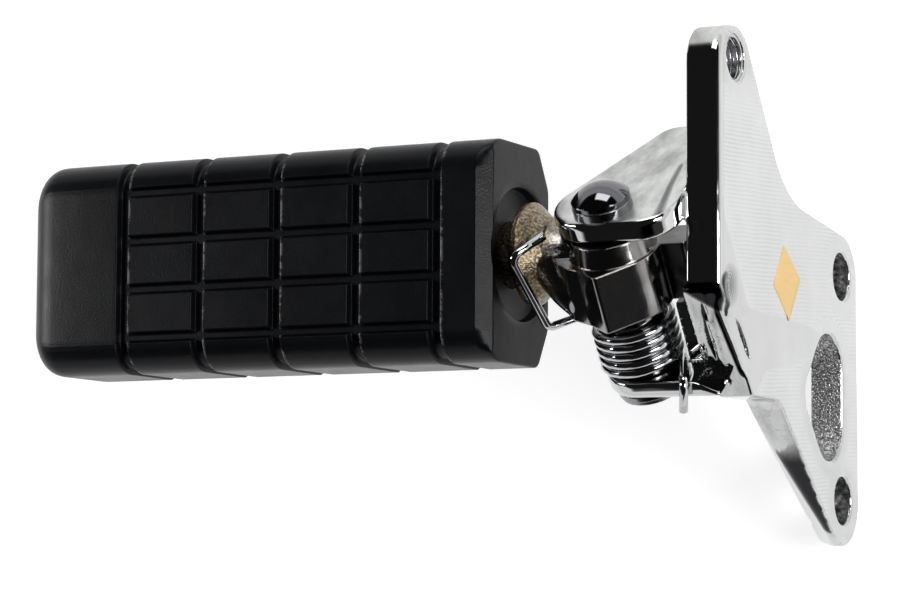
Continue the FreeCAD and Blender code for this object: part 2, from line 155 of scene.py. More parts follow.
def beltDistance(x, y, circles, farAway=1e6):
    # signed distance to the belt, negative inside: the nearest of its arcs and straight runs
    c, arrive, sweep = beltAngles(circles)
    start = c[:, :2] + c[:, 2:] * np.stack([np.cos(arrive + sweep), np.sin(arrive + sweep)], -1)
    stop = np.roll(c[:, :2] + c[:, 2:] * np.stack([np.cos(arrive), np.sin(arrive)], -1), -1, 0)
    best = np.full(np.broadcast(x, y).shape, farAway)
    for (cx, cy, r), turn0, turn, (ax, ay), (bx, by) in zip(c, arrive, sweep, start, stop):
        flip = -1 if r < 0 else 1
        around = (np.arctan2(flip * (y - cy), flip * (x - cx)) - turn0) * flip % (2 * np.pi)
        arc = np.where(around <= abs(turn), flip * np.hypot(x - cx, y - cy) - r, farAway)
        dx, dy = bx - ax, by - ay
        length = np.hypot(dx, dy)
        along = ((x - ax) * dx + (y - ay) * dy) / length
        across = ((x - ax) * dy - (y - ay) * dx) / length
        line = np.where((along >= 0) & (along <= length), across, farAway)
        best = np.where(np.abs(arc) < np.abs(best), arc, best)
        best = np.where(np.abs(line) < np.abs(best), line, best)
    return best


# Distance fields: negative inside

def soft(a, b, reach):
    # the larger of two distances, rolled over where they come within reach of each other
    close = np.clip(1 - np.abs(a - b) / reach, 0, None)
    return np.maximum(a, b) + close ** 2 * reach / 4


def joined(a, b, reach):            # both shapes, with a hollow fillet between them
    return -soft(-a, -b, reach)


def slab(x, low, high):
    return np.abs(x - (low + high) / 2) - (high - low) / 2


def slope(field, points, step=0.02):
    # gradient from a small step each way
    moves = np.eye(3) * step
    return np.stack([field(*(points + m).T) - field(*(points - m).T) for m in moves], -1) / (2 * step)


def surfaceNet(field, low, high, cell, slides=4, leastSlope=0.2):
    # one point in each cell that the surface crosses, at the mean of the crossings on the cell's edges;
    # one quad round each crossed edge; then the points are slid down the field's slope onto its zero
    axes = [np.arange(a, b + cell, cell) for a, b in zip(low, high)]
    values = field(*np.meshgrid(*axes, indexing="ij", sparse=True))
    cells = [n - 1 for n in values.shape]
    quads, crossings = [], []
    for axis in range(3):
        j, k = [other for other in range(3) if other != axis]
        turned = np.moveaxis(values, axis, 0)
        near, far = turned[:-1], turned[1:]
        at = np.nonzero((near < 0) != (far < 0))
        place = np.zeros((len(at[0]), 3))
        place[:, axis] = at[0] + near[at] / (near[at] - far[at])
        place[:, j], place[:, k] = at[1], at[2]
        ring = np.zeros((4, 3, len(at[0])), int)
        ring[:, axis] = at[0]
        ring[:, j] = at[1] + np.array([-1, 0, 0, -1])[:, None]
        ring[:, k] = at[2] + np.array([-1, -1, 0, 0])[:, None]
        quad = np.stack([np.ravel_multi_index(corner, cells) for corner in ring], 1)
        over = (near[at] < 0) == (axis == 1)
        quad[over] = quad[over, ::-1]
        quads.append(quad)
        crossings.append(place)
    _, faces = np.unique(np.concatenate(quads), return_inverse=True)
    faces = faces.reshape(-1, 4)
    crossings = np.repeat(np.concatenate(crossings), 4, 0)
    share = np.bincount(faces.ravel())
    points = np.stack([np.bincount(faces.ravel(), crossings[:, c]) / share for c in range(3)], -1)
    points = np.asarray(low) + cell * points
    for _ in range(slides):
        ahead = slope(field, points)
        fall = field(*points.T) / np.maximum((ahead ** 2).sum(-1), leastSlope)
        points = points - np.clip(fall, -cell / 2, cell / 2)[:, None] * ahead
    return points, faces, unit(slope(field, points))


# Shader nodes

def newMaterial(name):
    material = bpy.data.materials.new(name)
    material.use_nodes = True
    return material


def put(material, socket, value):
    # a link where an output is given, or else a plain value
    if isinstance(value, bpy.types.NodeSocket):
        material.node_tree.links.new(value, socket)
    else:
        socket.default_value = value


def add(material, kind, settings=None, **sockets):
    # one node in a material or the world; a socket goes by its name, or by i and its number
    item = material.node_tree.nodes.new("ShaderNode" + kind)
    for key, value in (settings or {}).items():
        setattr(item, key, value)
    for key, value in sockets.items():
        numbered = key[0] == "i" and key[1:].isdigit()
        put(material, item.inputs[int(key[1:]) if numbered else key], value)
    return item


def shader(material, **sockets):
    body = material.node_tree.nodes["Principled BSDF"]
    for key, value in sockets.items():
        put(material, body.inputs[key.replace("_", " ")], value)
    return body


def objectPlace(material):
    return add(material, "TexCoord").outputs["Object"]


def noise(material, place, scale, detail=3.0, rough=0.5, stretch=(1, 1, 1)):
    spread = add(material, "Mapping", Vector=place, Scale=stretch).outputs[0]
    return add(material, "TexNoise", Vector=spread, Scale=scale, Detail=detail, Roughness=rough).outputs[0]


def ramp(material, value, *stops):
    # colour ramp from (place, grey or colour) pairs
    item = add(material, "ValToRGB", Fac=value)
    elements = item.color_ramp.elements
    while len(elements) < len(stops):
        elements.new(0.5)
    for element, (place, colour) in zip(elements, stops):
        element.position = place
        element.color = (*colour, 1) if hasattr(colour, "__len__") else (colour, colour, colour, 1)
    return item.outputs[0]


def between(material, value, low, high, start=0.0, stop=1.0, kind="LINEAR"):
    # start..stop spread over low..high
    settings = {"interpolation_type": kind}
    return add(material, "MapRange", settings, Value=value, i1=start, i2=stop, i3=low, i4=high).outputs[0]


def layerValue(material, name):
    return add(material, "Attribute", {"attribute_name": name}).outputs["Fac"]


def calc(material, operation, a, b=0.0):
    return add(material, "Math", {"operation": operation}, i0=a, i1=b).outputs[0]


def times(material, a, b):
    return calc(material, "MULTIPLY", a, b)


def stripes(material, phase, low, high):
    # a sine wave between low and high
    return between(material, calc(material, "SINE", phase), low, high, -1.0, 1.0)


def mixValue(material, share, first, second):
    return add(material, "Mix", {"data_type": "FLOAT"}, i0=share, i2=first, i3=second).outputs[0]


def mixColour(material, share, first, second):
    # sockets 6 and 7 are the two colours; a plain colour gets its fourth number here
    item = add(material, "Mix", {"data_type": "RGBA"}, i0=share)
    for index, value in ((6, first), (7, second)):
        linked = isinstance(value, bpy.types.NodeSocket)
        put(material, item.inputs[index], value if linked else (*value, 1))
    return item.outputs[2]


def bump(material, height, strength, distance, normal=None):
    item = add(material, "Bump", Height=height, Strength=strength, Distance=distance)
    if normal is not None:
        put(material, item.inputs["Normal"], normal)
    return item.outputs[0]


def softEdges(material, radius, samples=6):
    return add(material, "Bevel", {"samples": samples}, Radius=radius).outputs[0]


# Finishes: a noise is (scale, detail, roughness, stretch), a ramp is (place, shade) pairs; metres

plating = {
    "clouds": (90, 4), "cloudShade": 0.93, "gloss": (260, 5, 0.6), "glossShares": (0.6, 1.5),
    "waveDetail": 2, "waveHeight": 0.001,
}


def platedSteel(name, colour, rough, wave, edge=None, s=plating):
    # bright plating: faint clouds in its gloss and a slow waviness from the forging under it
    material = newMaterial(name)
    place = objectPlace(material)
    clouds = noise(material, place, *s["clouds"])
    tint = mixColour(material, clouds, tuple(s["cloudShade"] * c for c in colour), colour)
    low, high = s["glossShares"]
    gloss = between(material, noise(material, place, *s["gloss"]), rough * low, rough * high)
    scale, strength = wave
    smooth = softEdges(material, edge) if edge else None
    waves = bump(material, noise(material, place, scale, s["waveDetail"]), strength, s["waveHeight"], smooth)
    shader(material, Base_Color=tint, Metallic=1.0, Roughness=gloss, Normal=waves)
    return material


rubberFinish = {
    "cloud": (55, 4), "tint": ((0.3, (0.0016, 0.0019, 0.0028)), (0.75, (0.0036, 0.0042, 0.006))),
    "breaks": (420, 4, 0.7), "broken": ((0.47, 0.0), (0.57, 1.0)), "wornLineAndSheen": (0.62, 0.62, 0.64),
    "gloss": (180, 5, 0.6), "glossRange": (0.27, 0.42), "shine": 0.16,
    "grain": (2600, 3), "grainBump": (0.12, 0.0004), "dents": (60, 2), "dentBump": (0.25, 0.0008),
}


def blackRubber(s):
    # satin black, with a pale broken line along the edges: partly wear, partly painted highlight
    material = newMaterial("blackRubber")
    place = objectPlace(material)
    tint = ramp(material, noise(material, place, *s["cloud"]), *s["tint"])
    broken = ramp(material, noise(material, place, *s["breaks"]), *s["broken"])
    line = times(material, layerValue(material, "edgeWearAndSheen"), broken)
    colour = mixColour(material, line, tint, s["wornLineAndSheen"])
    gloss = between(material, noise(material, place, *s["gloss"]), *s["glossRange"])
    grain = bump(material, noise(material, place, *s["grain"]), *s["grainBump"])
    dents = bump(material, noise(material, place, *s["dents"]), *s["dentBump"], grain)
    shader(material, Base_Color=colour, Roughness=gloss, Normal=dents, Specular_IOR_Level=s["shine"])
    return material


barFinish = {
    "fray": (160, 4), "frayReach": 0.006,
    "collarEdge": (-0.0365, -0.0315), "collarRamp": ((0.0, 1.0), (1.0, 0.0)),
    "speck": (1500, 2, 0.6), "speckRamp": ((0.42, 0.0), (0.66, 1.0)),
    "stain": (130, 5, 0.6), "stainRamp": ((0.38, 0.0), (0.72, 1.0)),
    "tan": ((0.11, 0.085, 0.055), (0.36, 0.295, 0.205)), "dark": ((0.30, 0.30, 0.31), (0.17, 0.155, 0.135)),
    "darkGloss": (0.07, 0.2), "tanGloss": 0.34,
    "speckHeight": 0.05, "waves": (70, 2), "waveHeight": 0.3, "edge": 0.0005, "bump": (1.0, 0.001),
}


def wornBar(s):
    # dark plating on the knuckle and neck, worn to a speckled tan on the collar
    material = newMaterial("barSteel")
    place = objectPlace(material)
    inboard = add(material, "SeparateXYZ", Vector=place).outputs[0]
    fray = times(material, noise(material, place, *s["fray"]), s["frayReach"])
    frayed = between(material, calc(material, "ADD", inboard, fray), 0.0, 1.0, *s["collarEdge"])
    collar = ramp(material, frayed, *s["collarRamp"])
    speck = ramp(material, noise(material, place, *s["speck"]), *s["speckRamp"])
    stain = ramp(material, noise(material, place, *s["stain"]), *s["stainRamp"])
    tan = mixColour(material, speck, *s["tan"])
    dark = mixColour(material, stain, *s["dark"])
    tint = mixColour(material, collar, dark, tan)
    gloss = mixValue(material, collar, between(material, stain, *s["darkGloss"]), s["tanGloss"])
    grain = times(material, times(material, speck, collar), s["speckHeight"])
    waves = times(material, noise(material, place, *s["waves"]), s["waveHeight"])
    soften = softEdges(material, s["edge"])
    height = bump(material, calc(material, "ADD", waves, grain), *s["bump"], soften)
    shader(material, Base_Color=tint, Metallic=1.0, Roughness=gloss, Normal=height)
    return material


chromeFinish = {
    "plate": ((0.50, 0.505, 0.50), (0.63, 0.635, 0.635)), "cloud": (60, 4, 0.55), "plateGloss": (0.03, 0.08),
    "waves": (42, 3, 0.45), "waveHeight": 0.30, "bump": (1.0, 0.001),
    # milled face
    "face": ((0.62, 0.625, 0.61), (0.71, 0.72, 0.72)), "faceGloss": 0.36,
    "cutterTurn": 7.2, "drift": (110, 4, 0.55), "driftReach": 5.0, "fade": (75, 4, 0.6),
    "fadeRamp": ((0.3, 0.15), (0.65, 1.0)), "cutterShare": 0.5, "cutterTint": (0.45, 0.46, 0.48),
    "cutterHeight": -0.018,
    # cast walls of the window, bores, and the dull top of the ear
    "spark": (2100, 2, 0.7), "castRamp": ((0.36, 0.16), (0.5, 0.55), (0.62, 1.0)), "castGloss": 0.26,
    "sparkHeight": 0.35,
    "pits": (700, 4, 0.65), "boreRamp": ((0.38, 0.06), (0.55, 0.36), (0.68, 1.0)), "boreGloss": 0.48,
    "smudge": (170, 6, 0.65, (1.0, 0.5, 0.5)), "dullGloss": (0.46, 0.28),
    "dullRamp": ((0.34, (0.34, 0.345, 0.34)), (0.6, (0.60, 0.61, 0.60))),
    # worn polish (partly painted dark reflection), the swirl, and patches of painted dark reflection and
    # shade
    "vein": (170, 5, 0.6), "veinRamp": ((0.0, 0.3), (0.03, 0.0)),
    "smear": (120, 5, 0.6, (2.0, 0.7, 0.7)), "smearRamp": ((0.42, 0.0), (0.72, 0.45)),
    "wearAndReflectionTint": (0.1, 0.1, 0.11),
    "swirlAt": (0.0, -0.0080, 0.0655), "swirlTurn": 9000.0, "swirlRange": (0.5, 0.92), "swirlScale": 200.0,
    "swirlRamp": ((0.35, 1.0), (1.0, 0.0)), "swirlTint": (0.05, 0.05, 0.055),
    "patchFray": 1.6, "patchRamp": ((0.35, 0.0), (0.5, 0.98)), "patchTint": (0.012, 0.012, 0.014),
}


def forgedChrome(s):
    # mirror plating over a forging, a milled face with cutter marks, cast walls in the window
    material = newMaterial("forgedChrome")
    place = objectPlace(material)
    layers = ("milled", "castWall", "earTop", "bore", "wearAndPaintedLight", "paintedShadeAndReflection")
    milled, cast, dull, bore, wearAndPaintedLight, dark = [layerValue(material, name) for name in layers]
    drift = times(material, noise(material, place, *s["drift"]), s["driftReach"])
    phase = calc(material, "ADD", times(material, layerValue(material, "millPath"), s["cutterTurn"]), drift)
    fade = ramp(material, noise(material, place, *s["fade"]), *s["fadeRamp"])
    line = times(material, stripes(material, phase, 0.0, 1.0), fade)
    cloud = noise(material, place, *s["cloud"])
    faceTint = mixColour(material, cloud, *s["face"])
    faceTint = mixColour(material, times(material, line, s["cutterShare"]), faceTint, s["cutterTint"])
    spark = noise(material, place, *s["spark"])
    smudge = noise(material, place, *s["smudge"])
    tint = mixColour(material, cloud, *s["plate"])
    tint = mixColour(material, dull, tint, ramp(material, smudge, *s["dullRamp"]))
    tint = mixColour(material, milled, tint, faceTint)
    tint = mixColour(material, cast, tint, ramp(material, spark, *s["castRamp"]))
    tint = mixColour(material, bore, tint, ramp(material, noise(material, place, *s["pits"]), *s["boreRamp"]))
    # worn polish: grey smears, and thin dark veins where a noise passes its middle value; partly wear, partly
    # painted dark reflection of polished streaks
    vein = calc(material, "SUBTRACT", noise(material, place, *s["vein"]), 0.5)
    vein = ramp(material, calc(material, "ABSOLUTE", vein), *s["veinRamp"])
    smear = ramp(material, noise(material, place, *s["smear"]), *s["smearRamp"])
    grey = times(material, wearAndPaintedLight, calc(material, "MAXIMUM", vein, smear))
    tint = mixColour(material, grey, tint, s["wearAndReflectionTint"])
    # a swirl beside the tongue: a sine of the distance from its middle, fading outwards
    reach = add(material, "VectorMath", {"operation": "DISTANCE"}, i0=place, i1=s["swirlAt"]).outputs["Value"]
    rings = stripes(material, times(material, reach, s["swirlTurn"]), *s["swirlRange"])
    inside = ramp(material, times(material, reach, s["swirlScale"]), *s["swirlRamp"])
    tint = mixColour(material, times(material, rings, inside), tint, s["swirlTint"])
    # patches of painted dark reflection and painted shade, with frayed edges
    fray = times(material, calc(material, "SUBTRACT", smudge, 0.5), s["patchFray"])
    edge = ramp(material, calc(material, "ADD", dark, fray), *s["patchRamp"])
    tint = mixColour(material, times(material, edge, dark), tint, s["patchTint"])
    gloss = between(material, cloud, *s["plateGloss"])
    gloss = mixValue(material, dull, gloss, between(material, smudge, *s["dullGloss"]))
    for layer, value in ((milled, s["faceGloss"]), (cast, s["castGloss"]), (bore, s["boreGloss"])):
        gloss = mixValue(material, layer, gloss, value)
    height = times(material, noise(material, place, *s["waves"]), s["waveHeight"])
    height = mixValue(material, milled, height, times(material, line, s["cutterHeight"]))
    height = mixValue(material, cast, height, times(material, spark, s["sparkHeight"]))
    normal = bump(material, height, *s["bump"])
    shader(material, Base_Color=tint, Metallic=1.0, Roughness=gloss, Normal=normal)
    return material


# colour, roughness, (scale, strength) of the waviness, radius of the softened edges
pinChrome = platedSteel("pinChrome", (0.17, 0.17, 0.18), 0.06, (80, 0.2), 0.0004)
washerSteel = platedSteel("washerSteel", (0.30, 0.305, 0.315), 0.14, (120, 0.2), 0.0003)
clipSteel = platedSteel("clipSteel", (0.34, 0.34, 0.36), 0.25, (120, 0.2), 0.0002)
springWire = platedSteel("springWire", (0.50, 0.505, 0.52), 0.08, (150, 0.15))
threadSteel = platedSteel("threadSteel", (0.50, 0.50, 0.52), 0.2, (300, 0.2))
rubberBlack = blackRubber(rubberFinish)
barSteel = wornBar(barFinish)
bracketChrome = forgedChrome(chromeFinish)

solidFinishes = {
    "mounting_bracket": bracketChrome, "peg_bar": barSteel, "pivot_pin": pinChrome,
    "head_washer": washerSteel, "end_washer": washerSteel, "retaining_clip": clipSteel,
}
for node, finish in solidFinishes.items():
    nodes[node].data.materials.clear()
    nodes[node].data.materials.append(finish)
print("finishes on the solids")


# Bracket: plate, ears and cuts as one distance field, so edges and roots roll over as on a forging

bracket = {
    "cell": 0.5, "low": (-37.0, -61.2, -11.2), "high": (1.0, 48.2, 85.0), "thick": 7.7,
    "plate": [(-50, 0, 10), (0, 0, 9.5), (37.2, 20.2, -25), (37.9, 62.4, 8.7), (-6.905, 66.1, 5),
              (-29.2, 53.2, 0.8), (-38, 41.8, -8)],
    "faceEdge": 0.7, "stripEdge": 1.7, "stripFrom": (60.0, 67.5), "backEdge": 0.4,
    "armBevel": 4.5, "bevelTaper": 0.17, "bevelEdge": 1.0, "bevelBox": ((-60, -10), (-41.8, 41.8)),
    # the two ears, and the thick root above the lower one
    "upperEar": [(-1.9, 4.5, 10.7), (8.1, 1.5, 7.7), (17.6, 12, 0.2), (17.6, 37.6, 0.2), (4.46, 32.8, 5)],
    "upperLevels": (11.0, 15.7), "upperRims": (0.7, 1.5), "upperFillet": 1.6,
    "lowerEar": [(0, 0, 8.3), (19.2, -8.1, 0.2), (19.2, 14.8, 0.2)],
    "lowerLevels": (-25.6, -21.3), "lowerRims": (2.6, 0.8), "lowerFillet": 0.8,
    "lowerFall": (14.0, 0.635), "fallEdge": 0.8, "stripTrim": 0.4,
    "root": ((10.0, 17.8), (0.5, 11.0), (-23.3, -7.3)), "rootEdge": 0.4, "rootFillet": 0.6,
    # the tongue, its ledge and the bevel that runs from it onto the face
    "tongueSlope": 39.5, "brow": (-8.7, 71.1),
    "ledge": (-9.0, -4.0), "ledgeDrop": 6.0, "ledgeRun": (0.6, 20.5), "ledgeEdge": 0.6, "ledgeFillet": 0.4,
    "faceBevel": (2.5, 10.5), "bevelThins": 0.095, "bevelLeast": 0.3, "bevelFrom": -11.9,
    "bevelStops": (22.0, 0.6), "bevelEnds": 3.0, "bevelRoll": 1.6,
    # shallow scoops left by the polishing wheel: (x, along the tongue, above it), then
    # half sizes along, across and deep
    "scoops": [((-5.0, 6.3, 0.1), (2.0, 0.5, 0.35)), ((-5.6, 12.5, 0.1), (3.8, 0.45, 0.35)),
               ((-0.9, 16.0, -4.6), (5.0, 1.4, 0.7))],
    "scoopEdge": 0.3, "dimple": (8.3, -8.5, 64.0, 9.0), "dimpleEdge": 1.0,
    "window": [(-33, 8.4, 8.4), (-22, 8.4, 8.4), (-27.5, 17, 5.6)], "windowEdge": 0.8,
    "holes": [(0, 0, 5.25), (-50, 0, 5.25), (39.8, 62.4, 4.9)], "holeEdge": 0.7,
    "pinHole": 4.05, "pinHoleEdge": 0.3,
    # where each finish lies: most pairs are where a change begins and ends, in place or in how the
    # surface faces
    "marks": {
        "faceTurn": (0.93, 0.99), "faceDepth": (-0.1, -0.03), "millLean": 0.07,
        "wrap": (0.3, 4.5), "wrapStretch": 0.9,
        "milledTo": ([-60, -24, -9, 6, 12], [90, 43.5, 56.0, 67.0, 68.5]), "milledFade": (-1.0, 3.0),
        "castWall": (0.1, 0.5), "castDepth": (-0.8, -0.3), "bore": (0.1, 0.4), "boreDepth": (-0.7, -0.3),
        "earTop": (-0.5, -0.1), "earTurn": (0.8, 0.95),
        "streakDepth": (-8.5, -7.5), "streakBehind": (9.0, 13.0), "streakTurn": (-0.6, -0.2),
        "armFacing": (0.0, -0.761, 0.648), "armTurn": (0.75, 0.95), "armBehind": (30, 33),
        "armFoot": (6.0, 7.5), "armHead": (24, 31), "armDepth": -6.5,
        "slantStart": 0.6, "slantLean": 0.85, "slantEdge": (-0.6, 0.6), "slantAbove": (-1.2, -0.6),
        "slantFrom": -0.8,
        "wedgeStart": (1.0, -3.2), "wedgeRun": (7.2, 1.6), "wedgeHalf": (2.3, 1.9), "wedgeEdge": (0.7, 1.1),
        "wedgeTurn": (0.5, 0.8), "wedgeDepth": (-3.5, -2.8),
        "creaseLine": ([-4.3, 8.8, 20.4], [13.5, 11.7, 10.8]), "creaseHalf": (1.0, 0.02),
        "creaseStops": (17, 22), "creaseShare": 0.85,
        "wallTurn": (0.5, 0.8), "wallDepth": (-12.6, -12.0), "wallAhead": (0, 1),
    },
}


def tonguePlace(y, z, s):
    # distance down the tongue from its brow, and above its surface
    lean = np.radians(s["tongueSlope"])
    back, down = s["brow"][0] - y, s["brow"][1] - z
    return back * np.cos(lean) + down * np.sin(lean), back * np.sin(lean) - down * np.cos(lean)


def bracketField(x, y, z, s):
    u = x - pinPoint[0]
    v = (y - pinPoint[1]) * pinV[1] + (z - pinPoint[2]) * pinV[2]
    w = (y - pinPoint[1]) * pinW[1] + (z - pinPoint[2]) * pinW[2]
    edge = beltDistance(y, z, s["plate"])
    roll = s["faceEdge"] + s["stripEdge"] * smoothstep(*s["stripFrom"], z)
    body = soft(soft(edge, -s["thick"] - x, s["backEdge"]), x, roll)
    # bevel behind the rear arm: a plane at 45 degrees to the arm's upper edge
    hollow, lobe = np.array(s["plate"][-1], float), np.array(s["plate"][0], float)
    run = hollow[:2] - lobe[:2]
    turn = np.arctan2(run[1], run[0]) + np.arccos((lobe[2] - hollow[2]) / np.hypot(*run))
    start = lobe[:2] + np.array([np.cos(turn), np.sin(turn)]) * (lobe[2] - s["armBevel"])
    beyond = (y - start[0]) * np.cos(turn) + (z - start[1]) * np.sin(turn) - x - s["thick"]
    beyond = beyond / np.sqrt(2) - s["bevelTaper"] * (y - lobe[0])
    room = np.maximum(slab(y, *s["bevelBox"][0]), slab(z, *s["bevelBox"][1]))
    body = soft(body, np.minimum(beyond, -room), s["bevelEdge"])
    # ears with hollow roots, and the thick root above the lower one
    for side in ("upper", "lower"):
        low, high = s[side + "Levels"]
        lowRim, highRim = s[side + "Rims"]
        ear = soft(soft(beltDistance(u, v, s[side + "Ear"]), low - w, lowRim), w - high, highRim)
        onStrip = np.minimum(x + s["thick"], z - s["brow"][1])
        ear = soft(ear, onStrip, s["stripTrim"])        # none stands on the strip
        if side == "lower":         # its top falls away where it runs under the tongue
            start, fall = s["lowerFall"]
            ear = soft(ear, (w - high + fall * (u - start)) / np.hypot(1, fall), s["fallEdge"])
        body = joined(body, ear, s[side + "Fillet"])
    block = soft(soft(slab(u, *s["root"][0]), slab(v, *s["root"][1]), s["rootEdge"]),
                 slab(w, *s["root"][2]), s["rootEdge"])
    body = joined(body, block, s["rootFillet"])
    # a ledge carries the tongue past the back; a bevel that thins out runs from it onto the face
    along, above = tonguePlace(y, z, s)
    ledge = soft(soft(slab(x, *s["ledge"]), slab(above, -s["ledgeDrop"], 0.0), s["ledgeEdge"]),
                 slab(along, *s["ledgeRun"]), s["ledgeEdge"])
    body = joined(body, ledge, s["ledgeFillet"])
    depth, width = s["faceBevel"]
    depth = np.maximum(depth - s["bevelThins"] * along, s["bevelLeast"])
    beyond = ((x + depth) * width + above * depth) / np.hypot(depth, width)
    stop, lean = s["bevelStops"]
    ends = np.maximum(y - s["bevelFrom"], along - stop + lean * above)
    body = soft(body, -soft(-beyond, ends, s["bevelEnds"]), s["bevelRoll"])
    for (atX, atAlong, atAbove), (long, wide, deep) in s["scoops"]:
        far = ((x - atX) / wide) ** 2 + ((along - atAlong) / long) ** 2 + ((above - atAbove) / deep) ** 2
        body = soft(body, (1 - np.sqrt(far)) * deep, s["scoopEdge"])
    cx, cy, cz, radius = s["dimple"]
    body = soft(body, radius - np.sqrt((x - cx) ** 2 + (y - cy) ** 2 + (z - cz) ** 2), s["dimpleEdge"])
    body = soft(body, -beltDistance(y, z, s["window"]), s["windowEdge"])
    for forward, up, radius in s["holes"]:
        body = soft(body, radius - np.hypot(y - forward, z - up), s["holeEdge"])
    return soft(body, s["pinHole"] - np.hypot(u, v), s["pinHoleEdge"])


def markBracket(piece, points, normals, s):
    # shares from 0 to 1 on the points: the milled face, cast walls, bores, the ear's top and worn polish,
    # whose darkening is partly painted dark reflection
    m = s["marks"]
    x, y, z = points.T
    u, v, w = toPin(points).T
    facing = normals[:, 0]
    flat = smoothstep(*m["faceTurn"], facing)
    window = beltDistance(y, z, s["window"])
    holes = np.array([np.hypot(y - forward, z - up) - radius for forward, up, radius in s["holes"]])
    rim = np.minimum(window, holes.min(0))
    wrap = 1 - smoothstep(*m["wrap"], rim)      # cutter marks bend round a hole's rim
    pointLayer(piece, "millPath", (y + m["millLean"] * z) * (1 - wrap) - m["wrapStretch"] * rim * wrap)
    clear = 1 - smoothstep(*m["milledFade"], z - np.interp(y, *m["milledTo"]))
    pointLayer(piece, "milled", smoothstep(*m["faceDepth"], x) * flat * clear)
    cast = 1 - smoothstep(*m["castWall"], np.abs(window))
    pointLayer(piece, "castWall", cast * (1 - smoothstep(*m["castDepth"], x)))
    bore = 1 - smoothstep(*m["bore"], np.abs(holes).min(0))
    pointLayer(piece, "bore", bore * (1 - smoothstep(*m["boreDepth"], x)))
    top = smoothstep(*m["earTop"], w - s["upperLevels"][1]) * smoothstep(*m["earTurn"], normals @ pinW)
    pointLayer(piece, "earTop", top)
    # worn polish: partly wear, partly painted dark reflection
    polished = smoothstep(*m["streakDepth"], x) * smoothstep(*m["streakBehind"], -y) * (1 - flat)
    pointLayer(piece, "wearAndPaintedLight", polished * smoothstep(*m["streakTurn"], facing))

    # painted dark reflections: the arm's flat, a slant at the tongue's top, a wedge beside it that narrows
    # downwards, and a crease on the ear that narrows forwards; painted shade on the wall behind the coil
    arm = smoothstep(*m["armTurn"], normals @ np.array(m["armFacing"])) * smoothstep(*m["armBehind"], -y)
    arm = arm * (1 - smoothstep(*m["armHead"], z)) * smoothstep(*m["armFoot"], z) * (x > m["armDepth"])
    along, above = tonguePlace(y, z, s)
    slant = along - m["slantStart"] - m["slantLean"] * (x - s["ledge"][0])
    slant = (1 - smoothstep(*m["slantEdge"], slant)) * smoothstep(*m["slantAbove"], above)
    slant = slant * (along > m["slantFrom"])
    (startAlong, startAbove), (runAlong, runAbove) = m["wedgeStart"], m["wedgeRun"]
    half, thins = m["wedgeHalf"]
    t = np.clip((along - startAlong) / runAlong, 0, 1)
    off = np.hypot(along - startAlong - runAlong * t, above - startAbove - runAbove * t)
    wedge = off / (half - thins * t)
    wedge = (1 - smoothstep(*m["wedgeEdge"], wedge)) * smoothstep(*m["wedgeTurn"], facing)
    wedge = wedge * smoothstep(*m["wedgeDepth"], x)
    half, thins = m["creaseHalf"]
    crease = np.exp(-((u - np.interp(v, *m["creaseLine"])) / (half - thins * v)) ** 2)
    crease = top * m["creaseShare"] * crease * (1 - smoothstep(*m["creaseStops"], v))
    wall = smoothstep(*m["wallTurn"], -facing) * (1 - smoothstep(*m["wallDepth"], x))
    wall = wall * smoothstep(*m["wallAhead"], v)
    pointLayer(piece, "paintedShadeAndReflection", np.max([arm, slant, wedge, crease, wall], 0))


def makeBracket(s):
    def field(x, y, z):
        return bracketField(x, y, z, s)

    points, faces, normals = surfaceNet(field, s["low"], s["high"], s["cell"])
    piece = meshObject("bracket_forging", points, faces, bracketChrome)
    piece.data.normals_split_custom_set_from_vertices(normals.tolist())
    markBracket(piece, points, normals, s)
    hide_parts("mounting_bracket")
    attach(piece, "bracket")
    print("bracket", len(points), "points", len(faces), "quads")


makeBracket(bracket)


# Thread in the front hole: a sleeve whose inside rises and falls along a helix

thread = {
    "forward": 39.8, "up": 62.4, "front": -0.5, "back": -7.3, "pitch": 1.5, "steep": 2.4,
    "major": 4.85, "minor": 4.25, "outer": 5.3, "sides": 48, "rows": 60,
}


def makeThread(s):
    angle = np.linspace(0, 2 * np.pi, s["sides"], endpoint=False)
    along = np.linspace(s["front"], s["back"], s["rows"])
    phase = (along[:, None] / s["pitch"] + angle / (2 * np.pi)) % 1
    ridge = np.clip(s["steep"] * (1 - 2 * np.abs(phase - 0.5)), 0, 1)
    inner = s["major"] - (s["major"] - s["minor"]) * ridge
    radius = np.concatenate([inner, np.full((2, s["sides"]), s["outer"])])
    place = np.concatenate([along, [s["back"], s["front"]]])
    rings = np.stack([np.broadcast_to(place[:, None], radius.shape), s["forward"] + radius * np.cos(angle),
                      s["up"] + radius * np.sin(angle)], -1)
    rows = len(rings)
    faces = gridFaces(rows + 1, s["sides"]) % (rows * s["sides"])      # the last ring joins the first
    piece = meshObject("front_hole_thread", rings.reshape(-1, 3), faces, threadSteel)
    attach(piece, "bracket")
    print("thread", len(faces), "faces")


makeThread(thread)


# Plain yellow sticker on the face: a thin diamond, drawn in ring by ring

sticker = {
    "corners": [(3.2, 35.6), (-5.6, 41.8), (-12.5, 32.8), (-3.2, 26.1)], "corner": 0.12, "cornerSteps": 4,
    "thick": 0.09, "sink": 0.02, "rings": [(0.6, 1.0), (1.0, 0.985), (1.0, 0.6), (1.0, 0.2)],
    "fibre": (350, 4, 0.6, (1, 3, 0.6)), "yellow": ((0.95, 0.58, 0.20), (0.98, 0.74, 0.36)),
    "rough": 0.55, "bump": (0.25, 0.0003),
}


